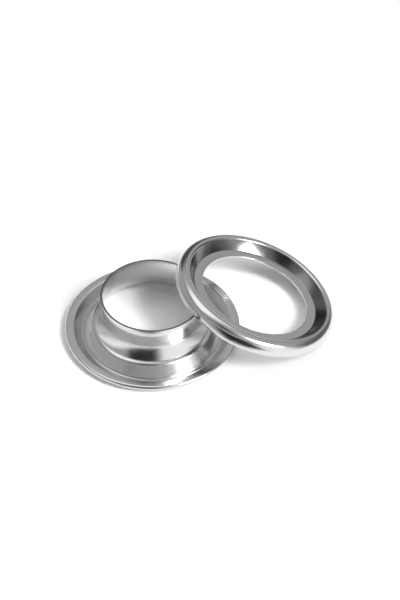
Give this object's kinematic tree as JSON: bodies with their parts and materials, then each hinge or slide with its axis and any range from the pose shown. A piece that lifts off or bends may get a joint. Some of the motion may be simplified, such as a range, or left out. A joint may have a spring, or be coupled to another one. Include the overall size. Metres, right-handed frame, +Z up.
{
  "type": "grommet eyelet",
  "caption": "Round sheet-metal grommet eyelet with a flared barrel and rimmed flange, with its domed washer leaning on the barrel.",
  "frame": {"origin": "on the eyelet's axis, in the plane of the surface that its show side and the washer's low edge stand on", "axes": "+Z up along the eyelet's axis towards the open end of its barrel, +X towards the washer's side, about 12 degrees short of the direction in which it leans"},
  "size_m": [0.0564, 0.0402, 0.0139],
  "materials": {
    "plated_sheet": "satin nickel plate with fine marks from forming"
  },
  "bodies": {
    "root": {"eyelet": "plated_sheet", "washer": "plated_sheet"}
  },
  "joints": []
}
